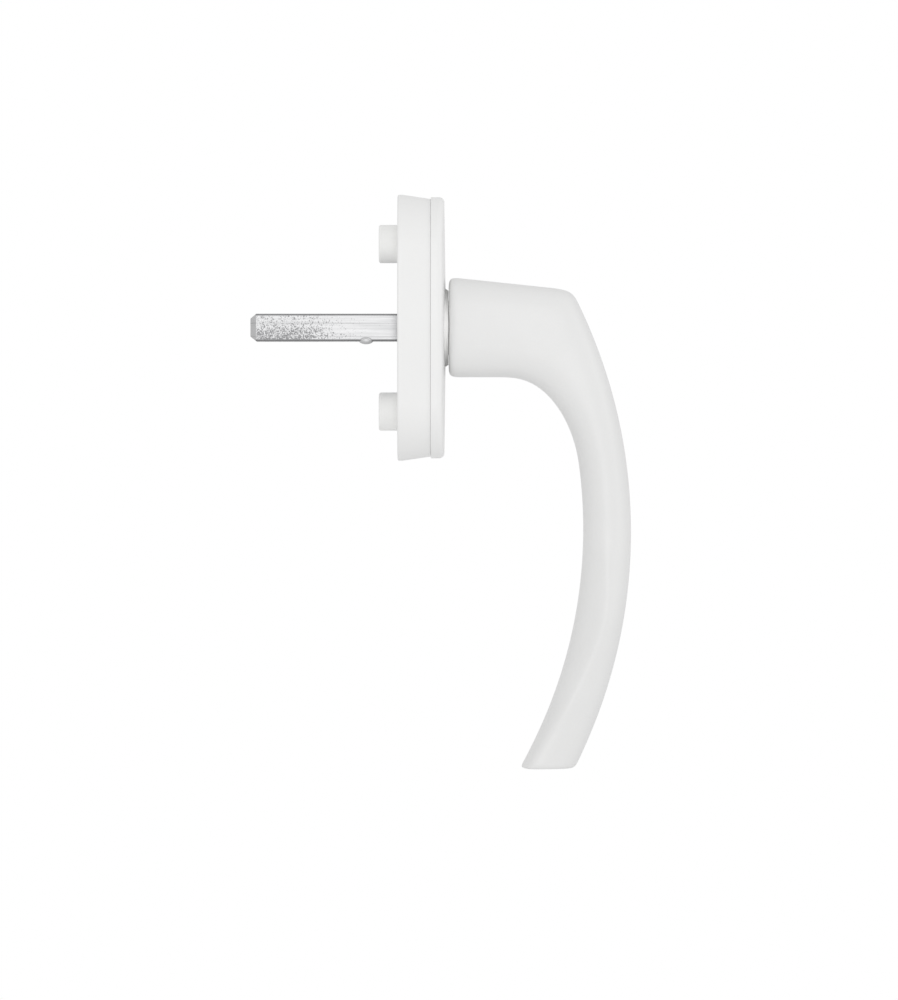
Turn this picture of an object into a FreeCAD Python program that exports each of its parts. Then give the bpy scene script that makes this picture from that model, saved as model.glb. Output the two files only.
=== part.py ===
import FreeCAD, Part
import math
import os
from FreeCAD import Matrix, Vector

# Tilt-and-turn window handle on an oval rosette, with its square spindle and ball detent.
#
# Frame: +Z up, +Y into the sash, -Y into the room. The origin is on the spindle's axis, in the
# mounting plane, which is the back face of the rosette. "Depth" is the distance from that plane
# into the room, so y = -depth, and what reaches into the sash has a negative depth.
# At rest the lever hangs down: the window is closed.

# ---- standard sizes of the fixing ----
SCREW_SPACING = 43.0          # between the two fixing screws
SCREW_HOLE = 5.3              # clearance for an M5 countersunk screw
LUG_DIAMETER = 9.8            # locating lug for a 10 mm hole in the sash
LUG_LENGTH = 4.8
LUG_EDGE_RADIUS = 0.6
SPINDLE_SIZE = 7.0            # across the flats
SPINDLE_REACH = 37.7          # behind the mounting plane
SPINDLE_EDGE = 0.25           # chamfer along the bar
TIP_LENGTH = 1.5              # tapered end of the spindle
TIP_INSET = 1.2               # how far each side comes in over that end

# ---- rosette: base, insert and swivelling cover ----
ROSETTE_HEIGHT = 68.4         # at the mounting plane
ROSETTE_WIDTH = 30.0
BASE_DEPTH = 8.5
BASE_DRAFT = 1.15             # how far the side leans in between back and front
BASE_FRONT_WALL = 2.0
CAVITY_MARGIN = 2.5           # side wall of the base, at the back
FIT_GAP = 0.05                # round what is pressed into the base
BACK_EDGE_RADIUS = 0.5
COVER_HEIGHT = 67.0
COVER_WIDTH = 28.6
COVER_SKIRT_DEPTH = 8.8       # where the cover's rim ends, just off the base
COVER_FRONT = 12.35           # middle of the cover
COVER_CROWN = 0.35            # how much lower the ends are than the middle
COVER_WALL = 1.3
COVER_EDGE_RADIUS = 1.3
COVER_CLEARANCE = 0.15        # round the bearing collar

# ---- neck bearing ----
SPIGOT_RADIUS = 7.0           # turns in the bush
BEARING_CLEARANCE = 0.08
COLLAR_RADIUS = 10.0
COLLAR_END_RADIUS = 9.25
COLLAR_END_DEPTH = 12.95
FLANGE_RADIUS = 11.5
FLANGE_THICKNESS = 1.0
NECK_BACK_DEPTH = 13.1        # back face of the lever's neck

# ---- ball detent, with a stop every quarter turn ----
DETENT_DEPTH = 3.35           # middle plane of wheel and balls
WHEEL_THICKNESS = 2.2
WHEEL_RADIUS = 8.6
POCKET_RADIUS = 9.0
BALL_RADIUS = 2.0
BALL_LIFT = 0.7               # how far the wheel's rim pushes a ball out of its notch
BALL_GAP = 0.05               # between a fully lifted ball and the wheel's rim
NOTCH_CLEARANCE = 0.1         # round a seated ball
CHANNEL_RADIUS = 2.05
CHANNEL_START = 7.5           # inside the wheel's pocket
CHANNEL_END = 17.3
SPRING_RADIUS = 1.4           # middle of the wire
SPRING_WIRE = 0.22            # radius of the wire
SPRING_TURNS = 4.5

# ---- lever tail, behind the bearing ----
TAIL_RADIUS = 6.0
TAIL_FLATS = 10.0             # across the two flats that drive the wheel
TAIL_END_DEPTH = 0.4
WASHER_RADIUS = 8.2
END_PLAY = 0.05               # between the thrust washer and the bush's flange
DISHED_SHEET = 0.3            # thickness of the dished washer's steel
DISHED_CLEARANCE = 0.1        # between the dished washer and the tail
CLIP_DEPTH = 1.05             # back face of the retaining ring
CLIP_THICKNESS = 0.7
CLIP_GROOVE_RADIUS = 5.4
CLIP_OUTER_RADIUS = 6.9
CLIP_GAP = 3.0                # between the retaining ring's two ends
EAR_RADIUS = 0.95             # the two ears by which it is spread
EAR_HOLE_RADIUS = 0.4
EAR_SIDE = 2.3
EAR_HEIGHT = 6.55
PIN_RADIUS = 1.25
PIN_DEPTH = 9.0
PIN_LENGTH = 13.4
SPINDLE_INNER_DEPTH = 34.0    # room end of the spindle, inside the neck
BULGE_DEPTH = -8.05           # the spindle's staked bulge: its middle, then its half sizes
BULGE_HEIGHT = -2.89
BULGE_SIDE = -3.35
BULGE_HALF_WIDTH = 0.75
BULGE_HALF_LENGTH = 1.9
BULGE_HALF_HEIGHT = 1.05

# ---- back plate ----
PLATE_THICKNESS = 0.9
PLATE_HEIGHT = 33.0
PLATE_WIDTH = 22.0
PLATE_BORE = 7.1
PLATE_SCREW_X = 5.2
PLATE_SCREW_Z = 12.6
PLATE_SCREW_RADIUS = 1.1
PLATE_SCREW_LENGTH = 5.0
PLATE_SCREW_HEAD = 2.0
PLATE_SCREW_TIP_LENGTH = 0.6
PLATE_SCREW_TIP_RADIUS = 0.5
RECESS_LENGTH = 2.2           # the cross recess in each screw's head
RECESS_WIDTH = 0.5
RECESS_DEPTH = 0.7

# ---- lever outline, seen from the side: depth and height ----
NECK_TOP = 12.98              # at the neck's back face
NECK_SLOPE = 6.0              # degrees that the top falls towards the room
NECK_BOTTOM = -12.68
SHOULDER_RADIUS = 4.0
GRIP_PROJECTION = 59.95       # furthest point from the mounting plane
GRIP_BOW_HEIGHT = -52.4       # height of that point
GRIP_OUTER_RADIUS = 133.6
GRIP_INNER_RADIUS = 123.4
GRIP_INNER_RISE = 0.8         # how much higher the inner arc's middle is than the bow
GRIP_THICKNESS = 12.25        # at the bow
GRIP_END = -112.95
THROAT_START = 28.0           # where the neck's underside begins to curve down
THROAT_END = -34.8            # where it meets the grip's inner arc
THROAT_REACH_TOP = 10.4       # how strongly the throat curve holds each end's direction
THROAT_REACH_BOTTOM = 11.0
FAN_DEPTH = 28.0              # the elbow's sections fan out about this point
FAN_HEIGHT = -34.8
OVERRUN = 5.0                 # how far the outlines run past the lever's two ends

# ---- lever width and section, each at a distance along the lever from the neck's back ----
WIDTHS = [(0, 21.0), (35, 19.6), (75, 18.6), (150, 19.4)]
FULLNESSES = [(0, 3.4), (20, 3.4), (65, 2.35)]    # superellipse exponent: 2 is an ellipse


def at(depth, height, side=0.0):
    """A point from its depth into the room, its height and its place sideways."""
    return Vector(side, -depth, height)


def disc(radius, depth_from, depth_to, side=0.0, height=0.0):
    """A round bar along the spindle's direction, between two depths."""
    base = at(depth_to, height, side)
    return Part.makeCylinder(radius, depth_to - depth_from, base, Vector(0, 1, 0))


def cone(radius_from, radius_to, depth_from, depth_to, side=0.0, height=0.0):
    """A cone along the spindle's direction, with a radius at each of two depths."""
    base = at(depth_from, height, side)
    return Part.makeCone(radius_from, radius_to, depth_to - depth_from, base, Vector(0, -1, 0))


def block(width, height, depth_from, depth_to):
    """A box centred on the spindle's axis, between two depths."""
    corner = Vector(-width / 2, -depth_to, -height / 2)
    return Part.makeBox(width, depth_to - depth_from, height, corner)


def oval_block(half_height, half_width, depth_from, depth_to, draft=0.0):
    """A solid with an oval outline, two straight sides joined by half circles. With a draft, its
    sides lean in towards the room."""
    straight = half_height - half_width
    front_half = half_width - draft
    outline = [
        (half_width, depth_from),
        (front_half, depth_to),
        (-front_half, depth_to),
        (-half_width, depth_from),
    ]
    corners = [at(depth, -straight, side) for side, depth in outline]
    slab = Part.Face(Part.makePolygon(corners + corners[:1])).extrude(Vector(0, 0, 2 * straight))
    for height in (-straight, straight):
        if draft:
            end = cone(half_width, front_half, depth_from, depth_to, 0, height)
        else:
            end = disc(half_width, depth_from, depth_to, 0, height)
        slab = slab.fuse(end)
    return slab.removeSplitter()


def edges_in_plane(shape, depth):
    """The edges of a shape that lie wholly at one depth."""
    return [e for e in shape.Edges if abs(e.BoundBox.YMin + depth) < 0.01 and e.BoundBox.YLength < 0.02]


def screw_heights():
    return (-SCREW_SPACING / 2, SCREW_SPACING / 2)


# ---- rosette ----

def make_rosette_base():
    """Tapered outer body, open at the back, with countersunk screw holes in its front wall."""
    half_height = ROSETTE_HEIGHT / 2
    half_width = ROSETTE_WIDTH / 2
    body = oval_block(half_height, half_width, 0, BASE_DEPTH, BASE_DRAFT)
    body = body.makeFillet(BACK_EDGE_RADIUS, edges_in_plane(body, 0))
    body = body.cut(make_cavity(0))
    body = body.cut(disc(COLLAR_RADIUS + FIT_GAP, 0, BASE_DEPTH))
    wall_back = BASE_DEPTH - BASE_FRONT_WALL
    head_radius = SCREW_HOLE / 2 + BASE_FRONT_WALL
    for height in screw_heights():
        body = body.cut(cone(SCREW_HOLE / 2, head_radius, wall_back, BASE_DEPTH, 0, height))
    return body


def make_cavity(gap):
    """The hollow in the back of the base, or the blank that fills it all but a gap."""
    half_height = ROSETTE_HEIGHT / 2 - CAVITY_MARGIN - gap
    half_width = ROSETTE_WIDTH / 2 - CAVITY_MARGIN - gap
    return oval_block(half_height, half_width, 0, BASE_DEPTH - BASE_FRONT_WALL)


def make_support_insert():
    """Moulded insert with the two locating lugs, the wheel's pocket and the ball channels."""
    insert = make_cavity(FIT_GAP)
    for height in screw_heights():
        lug = disc(LUG_DIAMETER / 2, -LUG_LENGTH, 0, 0, height)
        lug = lug.makeFillet(LUG_EDGE_RADIUS, edges_in_plane(lug, -LUG_LENGTH))
        insert = insert.fuse(lug)
    insert = insert.removeSplitter()
    front = BASE_DEPTH - BASE_FRONT_WALL
    insert = insert.cut(disc(POCKET_RADIUS, 0, front))
    insert = insert.cut(disc(FLANGE_RADIUS, front - FLANGE_THICKNESS, front))
    insert = insert.cut(make_plate_blank())
    for direction in (-1, 1):
        start = at(DETENT_DEPTH, direction * CHANNEL_START)
        length = CHANNEL_END - CHANNEL_START
        insert = insert.cut(Part.makeCylinder(CHANNEL_RADIUS, length, start, Vector(0, 0, direction)))
    for height in screw_heights():
        insert = insert.cut(disc(SCREW_HOLE / 2, -LUG_LENGTH, front, 0, height))
    for side, height in plate_screw_places():
        insert = insert.cut(disc(PLATE_SCREW_RADIUS, 0, PLATE_SCREW_LENGTH, side, height))
    return insert


def make_plate_blank():
    return oval_block(PLATE_HEIGHT / 2, PLATE_WIDTH / 2, 0, PLATE_THICKNESS)


def plate_screw_places():
    return [(x, z) for x in (-PLATE_SCREW_X, PLATE_SCREW_X) for z in (-PLATE_SCREW_Z, PLATE_SCREW_Z)]


def make_back_plate():
    """Pressed plate, let into the back of the insert, that keeps the wheel and balls in."""
    plate = make_plate_blank().cut(disc(PLATE_BORE, 0, PLATE_THICKNESS))
    for side, height in plate_screw_places():
        plate = plate.cut(cone(PLATE_SCREW_HEAD, PLATE_SCREW_RADIUS, 0, PLATE_THICKNESS, side, height))
    return plate


def make_plate_screws():
    """Four small countersunk screws with cross recesses."""
    tip_start = PLATE_SCREW_LENGTH - PLATE_SCREW_TIP_LENGTH
    screws = []
    for side, height in plate_screw_places():
        head = cone(PLATE_SCREW_HEAD, PLATE_SCREW_RADIUS, 0, PLATE_THICKNESS, side, height)
        shank = disc(PLATE_SCREW_RADIUS, PLATE_THICKNESS, tip_start, side, height)
        tip = cone(PLATE_SCREW_RADIUS, PLATE_SCREW_TIP_RADIUS, tip_start, PLATE_SCREW_LENGTH, side, height)
        screw = head.fuse(shank).fuse(tip).removeSplitter()
        for width, length in ((RECESS_LENGTH, RECESS_WIDTH), (RECESS_WIDTH, RECESS_LENGTH)):
            slot = block(width, length, 0, RECESS_DEPTH)
            slot.translate(Vector(side, 0, height))
            screw = screw.cut(slot)
        screws.append(screw)
    return Part.makeCompound(screws)


def make_bearing_bush():
    """Flanged bush: its collar shows between the cover and the neck, and its bore takes the spigot."""
    wall_back = BASE_DEPTH - BASE_FRONT_WALL
    flange = disc(FLANGE_RADIUS, wall_back - FLANGE_THICKNESS, wall_back)
    barrel = disc(COLLAR_RADIUS, wall_back, COVER_FRONT)
    taper = cone(COLLAR_RADIUS, COLLAR_END_RADIUS, COVER_FRONT, COLLAR_END_DEPTH)
    bush = flange.fuse(barrel).fuse(taper).removeSplitter()
    bore = disc(SPIGOT_RADIUS + BEARING_CLEARANCE, wall_back - FLANGE_THICKNESS, COLLAR_END_DEPTH)
    return bush.cut(bore)


def make_cover():
    """Swivelling cover: a shallow crowned tray that hides the screws and turns on the collar."""
    half_height = COVER_HEIGHT / 2
    half_width = COVER_WIDTH / 2
    block_front = COVER_FRONT + 2
    tray = oval_block(half_height, half_width, COVER_SKIRT_DEPTH, block_front)
    crown_radius = (half_height ** 2 + COVER_CROWN ** 2) / (2 * COVER_CROWN)
    tray = tray.common(make_crown(crown_radius, COVER_FRONT))
    front_edges = [e for e in tray.Edges if -e.BoundBox.YMax > COVER_FRONT - COVER_CROWN - 0.1]
    tray = tray.makeFillet(COVER_EDGE_RADIUS, front_edges)
    inside = oval_block(half_height - COVER_WALL, half_width - COVER_WALL, COVER_SKIRT_DEPTH, block_front)
    inside = inside.common(make_crown(crown_radius, COVER_FRONT - COVER_WALL))
    hub_radius = COLLAR_RADIUS + COVER_CLEARANCE
    tray = tray.cut(inside.cut(disc(hub_radius + COVER_WALL, 0, block_front)))
    return tray.cut(disc(hub_radius, 0, block_front))


def make_crown(radius, front):
    """A very large bar across the rosette whose surface crowns the cover's front."""
    axis_start = at(front - radius, 0, -ROSETTE_WIDTH)
    return Part.makeCylinder(radius, 2 * ROSETTE_WIDTH, axis_start, Vector(1, 0, 0))


# ---- detent ----

def lifted_ball_height():
    return WHEEL_RADIUS + BALL_GAP + BALL_RADIUS


def make_ball(direction):
    """Steel ball, lifted just clear of the wheel's rim; its travel inwards seats it in a notch."""
    return Part.makeSphere(BALL_RADIUS, at(DETENT_DEPTH, direction * lifted_ball_height()))


def make_spring(direction):
    """Compression spring between a ball and the blind end of its channel."""
    start = lifted_ball_height() + BALL_RADIUS + SPRING_WIRE
    length = CHANNEL_END - SPRING_WIRE - start
    helix = Part.makeHelix(length / SPRING_TURNS, length, SPRING_RADIUS)
    section = Part.Wire(Part.makeCircle(SPRING_WIRE, Vector(SPRING_RADIUS, 0, 0), Vector(0, 1, 0)))
    coil = Part.Wire(helix).makePipeShell([section], True, True)
    spring = Part.Solid(coil) if coil.ShapeType == "Shell" else coil
    if direction < 0:
        spring.rotate(Vector(0, 0, 0), Vector(0, 1, 0), 180)
    spring.translate(at(DETENT_DEPTH, direction * start))
    return spring


def make_tail_bar(clearance, depth_from, depth_to):
    """The tail's outline, round with two flats, as a bar between two depths."""
    bar = disc(TAIL_RADIUS + clearance, depth_from, depth_to)
    return bar.common(block(TAIL_FLATS + 2 * clearance, 4 * TAIL_RADIUS, depth_from, depth_to))


def make_detent_wheel():
    """Hardened wheel with four rounded notches, driven by the tail's flats."""
    back = DETENT_DEPTH - WHEEL_THICKNESS / 2
    front = DETENT_DEPTH + WHEEL_THICKNESS / 2
    wheel = disc(WHEEL_RADIUS, back, front)
    seated_height = lifted_ball_height() - BALL_LIFT
    for quarter in range(4):
        angle = math.radians(90 * quarter)
        side = seated_height * math.sin(angle)
        height = seated_height * math.cos(angle)
        wheel = wheel.cut(disc(BALL_RADIUS + NOTCH_CLEARANCE, back, front, side, height))
    return wheel.cut(make_tail_bar(0, back, front))


def spigot_back():
    """Depth of the step between the spigot and the tail, where the thrust washer bears."""
    return BASE_DEPTH - BASE_FRONT_WALL - FLANGE_THICKNESS - END_PLAY


def make_thrust_washer():
    """Flat washer between the wheel and the bush's flange."""
    back = DETENT_DEPTH + WHEEL_THICKNESS / 2
    front = spigot_back()
    washer = disc(WASHER_RADIUS, back, front)
    return washer.cut(make_tail_bar(0, back, front))


def make_dished_washer():
    """Spring washer that takes up the end play between the retaining ring and the wheel."""
    inner = TAIL_RADIUS + DISHED_CLEARANCE
    outer = WASHER_RADIUS
    back = CLIP_DEPTH + CLIP_THICKNESS
    front = DETENT_DEPTH - WHEEL_THICKNESS / 2
    corners = [
        at(back, inner),
        at(front - DISHED_SHEET, outer),
        at(front, outer),
        at(back + DISHED_SHEET, inner),
    ]
    profile = Part.Face(Part.makePolygon(corners + corners[:1]))
    return profile.revolve(Vector(0, 0, 0), Vector(0, 1, 0), 360)


def make_retaining_ring():
    """Open ring with two eared ends, sprung into the tail's groove."""
    front = CLIP_DEPTH + CLIP_THICKNESS
    ring = disc(CLIP_OUTER_RADIUS, CLIP_DEPTH, front).cut(disc(CLIP_GROOVE_RADIUS, CLIP_DEPTH, front))
    gap_corner = at(front, 0, -CLIP_GAP / 2)
    ring = ring.cut(Part.makeBox(CLIP_GAP, CLIP_THICKNESS, POCKET_RADIUS, gap_corner))
    for side in (-EAR_SIDE, EAR_SIDE):
        ear = disc(EAR_RADIUS, CLIP_DEPTH, front, side, EAR_HEIGHT)
        ring = ring.fuse(ear).cut(disc(EAR_HOLE_RADIUS, CLIP_DEPTH, front, side, EAR_HEIGHT))
    ring = ring.cut(disc(CLIP_GROOVE_RADIUS, CLIP_DEPTH, front))
    return ring.removeSplitter()


# ---- spindle ----

def make_spindle():
    """Drawn square bar with broken edges, a tapered tip, a staked bulge and a pin hole."""
    bar = block(SPINDLE_SIZE, SPINDLE_SIZE, -SPINDLE_REACH, SPINDLE_INNER_DEPTH)
    long_edges = [e for e in bar.Edges if e.BoundBox.YLength > SPINDLE_REACH]
    bar = bar.makeChamfer(SPINDLE_EDGE, long_edges)
    bar = bar.common(make_tip_wedge(True)).common(make_tip_wedge(False))
    pin_start = at(PIN_DEPTH, 0, -SPINDLE_SIZE / 2)
    bar = bar.cut(Part.makeCylinder(PIN_RADIUS, SPINDLE_SIZE, pin_start, Vector(1, 0, 0)))
    return bar.fuse(make_staked_bulge()).removeSplitter()


def make_tip_wedge(upright):
    """A bar that narrows over the last stretch, to taper the spindle's tip on two sides."""
    half = SPINDLE_SIZE / 2
    tip_half = half - TIP_INSET
    tip = -SPINDLE_REACH
    taper_end = tip + TIP_LENGTH
    far = SPINDLE_INNER_DEPTH
    lower = [(tip, -tip_half), (taper_end, -half), (far, -half)]
    upper = [(far, half), (taper_end, half), (tip, tip_half)]
    outline = lower + upper
    if upright:
        points = [at(depth, across, -half) for depth, across in outline]
        direction = Vector(SPINDLE_SIZE, 0, 0)
    else:
        points = [at(depth, -half, across) for depth, across in outline]
        direction = Vector(0, 0, SPINDLE_SIZE)
    return Part.Face(Part.makePolygon(points + points[:1])).extrude(direction)


def make_staked_bulge():
    """Lens-shaped bulge on one long edge, which stops the spindle sliding out of the sash lock."""
    stretch = Matrix()
    stretch.scale(Vector(BULGE_HALF_WIDTH, BULGE_HALF_LENGTH, BULGE_HALF_HEIGHT))
    bulge = Part.makeSphere(1.0).transformGeometry(stretch)
    bulge.translate(at(BULGE_DEPTH, BULGE_HEIGHT, BULGE_SIDE))
    return bulge


def make_spindle_pin():
    """Cross pin that holds the spindle in the lever."""
    start = at(PIN_DEPTH, 0, -PIN_LENGTH / 2)
    return Part.makeCylinder(PIN_RADIUS, PIN_LENGTH, start, Vector(1, 0, 0))


# ---- lever ----

def outer_arc_centre():
    return at(GRIP_PROJECTION - GRIP_OUTER_RADIUS, GRIP_BOW_HEIGHT)


def inner_arc_centre():
    depth = GRIP_PROJECTION - GRIP_THICKNESS - GRIP_INNER_RADIUS
    return at(depth, GRIP_BOW_HEIGHT + GRIP_INNER_RISE)


def arc_depth(centre, radius, height):
    """Depth of an arc of the grip at one height."""
    return math.sqrt(radius ** 2 - (height - centre.z) ** 2) - centre.y


def arc_between(centre, radius, high, low):
    """Edge along an arc of the grip between two heights."""
    heights = (high, (high + low) / 2, low)
    points = [at(arc_depth(centre, radius, h), h) for h in heights]
    return Part.Arc(*points).toShape()


def make_outer_line():
    """Top of the neck, rounded shoulder and outer side of the grip, as one wire."""
    centre = outer_arc_centre()
    slope = math.tan(math.radians(NECK_SLOPE))
    # Centre of the shoulder's arc: as far below the top line as it is inside the grip's arc.
    lift = SHOULDER_RADIUS / math.cos(math.radians(NECK_SLOPE))
    depth = GRIP_PROJECTION
    for _ in range(40):
        height = NECK_TOP - (depth - NECK_BACK_DEPTH) * slope - lift
        depth = arc_depth(centre, GRIP_OUTER_RADIUS - SHOULDER_RADIUS, height)
    middle = at(depth, height)
    tilt = math.radians(90 - NECK_SLOPE)
    top_end = at(depth + SHOULDER_RADIUS * math.cos(tilt), height + SHOULDER_RADIUS * math.sin(tilt))
    outward = (middle - centre).normalize()
    side_start = middle + outward * SHOULDER_RADIUS
    upward = (top_end - middle).normalize()
    bisector = (outward + upward).normalize()
    crest = middle + bisector * SHOULDER_RADIUS
    start_depth = NECK_BACK_DEPTH - OVERRUN
    start = at(start_depth, NECK_TOP + (NECK_BACK_DEPTH - start_depth) * slope)
    edges = [
        Part.LineSegment(start, top_end).toShape(),
        Part.Arc(top_end, crest, side_start).toShape(),
        arc_between(centre, GRIP_OUTER_RADIUS, side_start.z, GRIP_END - OVERRUN),
    ]
    return Part.Wire(edges)


def make_inner_line():
    """Underside of the neck, throat and inner side of the grip, as one wire."""
    centre = inner_arc_centre()
    throat_end = at(arc_depth(centre, GRIP_INNER_RADIUS, THROAT_END), THROAT_END)
    radial = (throat_end - centre).normalize()
    along = Vector(0, radial.z, -radial.y)
    throat_start = at(THROAT_START, NECK_BOTTOM)
    throat = Part.BezierCurve()
    throat.setPoles([
        throat_start,
        throat_start + at(THROAT_REACH_TOP, 0),
        throat_end + along * THROAT_REACH_BOTTOM,
        throat_end,
    ])
    edges = [
        Part.LineSegment(at(NECK_BACK_DEPTH - OVERRUN, NECK_BOTTOM), throat_start).toShape(),
        throat.toShape(),
        arc_between(centre, GRIP_INNER_RADIUS, THROAT_END, GRIP_END - OVERRUN),
    ]
    return Part.Wire(edges)


def section_rays():
    """Lines seen from the side, one for each section: across the neck, fanned round the elbow
    and then level down the grip. Each has a start and an end."""
    reach = 80.0
    rays = []
    for depth in (NECK_BACK_DEPTH, 15.0, 18.0, 22.0, 26.0):
        rays.append((at(depth, FAN_HEIGHT), at(depth, reach)))
    pivot = at(FAN_DEPTH, FAN_HEIGHT)
    for angle in (88, 83, 78, 74, 71.5, 70, 68.75, 67.5, 66, 63.5, 60, 54, 46, 37, 27, 17, 8):
        turn = math.radians(angle)
        rays.append((pivot, pivot + at(reach * math.cos(turn), reach * math.sin(turn))))
    steps = 12
    for step in range(steps + 1):
        height = FAN_HEIGHT + (GRIP_END - FAN_HEIGHT) * step / steps
        rays.append((at(FAN_DEPTH - 10, height), at(FAN_DEPTH + reach, height)))
    return rays


def blend(value, points):
    """Smooth change of a size between named places along the lever."""
    for (start, from_size), (end, to_size) in zip(points, points[1:]):
        if value <= end:
            t = max(0.0, (value - start) / (end - start))
            t = t * t * (3 - 2 * t)
            return from_size + (to_size - from_size) * t
    return points[-1][1]


def section_points(inner, outer, half_width, fullness):
    """Points round a superellipse between an inner and an outer point, ending where they begin."""
    middle = (inner + outer) * 0.5
    across = (outer - inner) * 0.5
    points = []
    count = 32
    for step in range(count + 1):
        turn = 2 * math.pi * (step % count) / count - math.pi / 2
        c = math.cos(turn)
        s = math.sin(turn)
        side = half_width * math.copysign(abs(c) ** (2 / fullness), c)
        out = math.copysign(abs(s) ** (2 / fullness), s)
        points.append(middle + across * out + Vector(side, 0, 0))
    return points


def make_grip_and_neck():
    """The lever's visible shape: one smooth surface through its sections, closed by two flat ends."""
    outer_line = make_outer_line()
    inner_line = make_inner_line()
    rows = []
    travelled = 0.0
    last_middle = None
    for start, end in section_rays():
        ray = Part.LineSegment(start, end).toShape()
        inner = ray.distToShape(inner_line)[1][0][0]
        outer = ray.distToShape(outer_line)[1][0][0]
        middle = (inner + outer) * 0.5
        if last_middle:
            travelled += (middle - last_middle).Length
        last_middle = middle
        width = blend(travelled, WIDTHS)
        fullness = blend(travelled, FULLNESSES)
        rows.append(section_points(inner, outer, width / 2, fullness))
    surface = Part.BSplineSurface()
    surface.interpolate(rows)
    skin = surface.toShape()
    ends = [e for e in skin.Edges if min(e.BoundBox.YLength, e.BoundBox.ZLength) < 0.01]
    caps = [Part.Face(Part.Wire([e])) for e in ends]
    shell = Part.Shell([skin] + caps)
    shell.sewShape()
    solid = Part.Solid(shell)
    if solid.Volume < 0:
        solid.reverse()
    return solid


def make_lever():
    """Cast lever: grip and neck, bearing spigot, and a tail with flats, groove and square socket."""
    lever = make_grip_and_neck()
    lever = lever.fuse(disc(SPIGOT_RADIUS, spigot_back(), NECK_BACK_DEPTH + 3))
    lever = lever.fuse(make_tail_bar(0, TAIL_END_DEPTH, spigot_back()))
    lever = lever.removeSplitter()
    groove = disc(TAIL_RADIUS + 1, CLIP_DEPTH, CLIP_DEPTH + CLIP_THICKNESS)
    groove = groove.cut(disc(CLIP_GROOVE_RADIUS, CLIP_DEPTH, CLIP_DEPTH + CLIP_THICKNESS))
    lever = lever.cut(groove)
    lever = lever.cut(block(SPINDLE_SIZE, SPINDLE_SIZE, TAIL_END_DEPTH - 1, SPINDLE_INNER_DEPTH))
    pin_start = at(PIN_DEPTH, 0, -SPIGOT_RADIUS - 1)
    return lever.cut(Part.makeCylinder(PIN_RADIUS, 2 * SPIGOT_RADIUS + 2, pin_start, Vector(1, 0, 0)))


PARTS = {
    "lever": make_lever,
    "spindle": make_spindle,
    "spindle_pin": make_spindle_pin,
    "detent_wheel": make_detent_wheel,
    "thrust_washer": make_thrust_washer,
    "dished_washer": make_dished_washer,
    "retaining_ring": make_retaining_ring,
    "rosette_base": make_rosette_base,
    "support_insert": make_support_insert,
    "bearing_bush": make_bearing_bush,
    "back_plate": make_back_plate,
    "plate_screws": make_plate_screws,
    "cover": make_cover,
    "upper_ball": lambda: make_ball(1),
    "lower_ball": lambda: make_ball(-1),
    "upper_spring": lambda: make_spring(1),
    "lower_spring": lambda: make_spring(-1),
}

os.makedirs("parts", exist_ok=True)
for name, make in PARTS.items():
    shape = make()
    if not shape.isValid():
        raise ValueError(name + " is not a valid shape")
    shape.exportStep("parts/" + name + ".step")
    box = shape.BoundBox
    print(name, len(shape.Solids), round(shape.Volume, 2), [round(v, 2) for v in
          (box.XMin, box.YMin, box.ZMin, box.XMax, box.YMax, box.ZMax)])
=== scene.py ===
import math

import bmesh
import bpy
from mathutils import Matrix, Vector


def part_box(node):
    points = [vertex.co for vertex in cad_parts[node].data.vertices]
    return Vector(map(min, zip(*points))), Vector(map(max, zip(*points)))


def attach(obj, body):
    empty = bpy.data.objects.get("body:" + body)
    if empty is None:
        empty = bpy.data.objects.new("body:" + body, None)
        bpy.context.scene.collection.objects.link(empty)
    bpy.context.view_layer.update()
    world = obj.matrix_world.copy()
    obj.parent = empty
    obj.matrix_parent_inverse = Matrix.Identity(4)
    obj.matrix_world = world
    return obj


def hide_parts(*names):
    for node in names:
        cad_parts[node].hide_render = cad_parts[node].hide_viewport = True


# A white window handle seen from its side: the looks, built round the CAD frame.
#
# Metres. +Z up, +Y into the sash, -Y into the room, origin on the spindle's axis in the mounting
# plane. "Depth" is the distance from that plane into the room, so y = -depth.

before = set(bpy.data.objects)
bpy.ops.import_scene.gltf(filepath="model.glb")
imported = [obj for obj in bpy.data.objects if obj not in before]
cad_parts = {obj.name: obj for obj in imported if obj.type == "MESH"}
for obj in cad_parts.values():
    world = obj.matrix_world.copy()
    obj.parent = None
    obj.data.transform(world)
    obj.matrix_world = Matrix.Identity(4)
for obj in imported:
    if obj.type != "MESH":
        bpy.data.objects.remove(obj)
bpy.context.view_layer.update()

MM = 0.001

# ---- sizes, in metres ----
BASE_STRAIGHT = 1.2 * MM          # upright rim at the back of the rosette, before the taper
BASE_TAPER = 1.08 * MM            # how far the rosette's side leans in
BASE_EDGE = 0.45 * MM
BASE_WALL = 2.5 * MM
BASE_FRONT_WALL = 2.0 * MM
SCREW_HEIGHT = 21.5 * MM
SCREW_HOLE = 2.65 * MM
SCREW_HEAD_OVERSHOOT = 0.5 * MM   # the countersink's cutter stands this much proud of the front
COLLAR_HOLE = 10.05 * MM
COVER_EDGE = 1.35 * MM
COVER_CROWN = 0.35 * MM           # how much lower the cover's front is at its two ends
COVER_SIDE_CROWN = 0.85 * MM      # and at its two long sides
COVER_CUTS_HIGH = (4, 8, 11.5, 15, 19.2, 24)   # mm from the middle, where the front is divided
COVER_CUTS_WIDE = (3.5, 7, 10)
COVER_WALL = 1.3 * MM
COVER_WALL_STEP = 0.05 * MM       # how much the tray's walls lean inwards
COVER_BORE = 10.08 * MM
BORE_EDGE = 0.12 * MM
RIM_EDGE = 0.06 * MM              # on both sides of the seam between base and cover
RIM_DROP = 0.27 * MM              # the cover's rim hangs this much nearer the base
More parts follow.
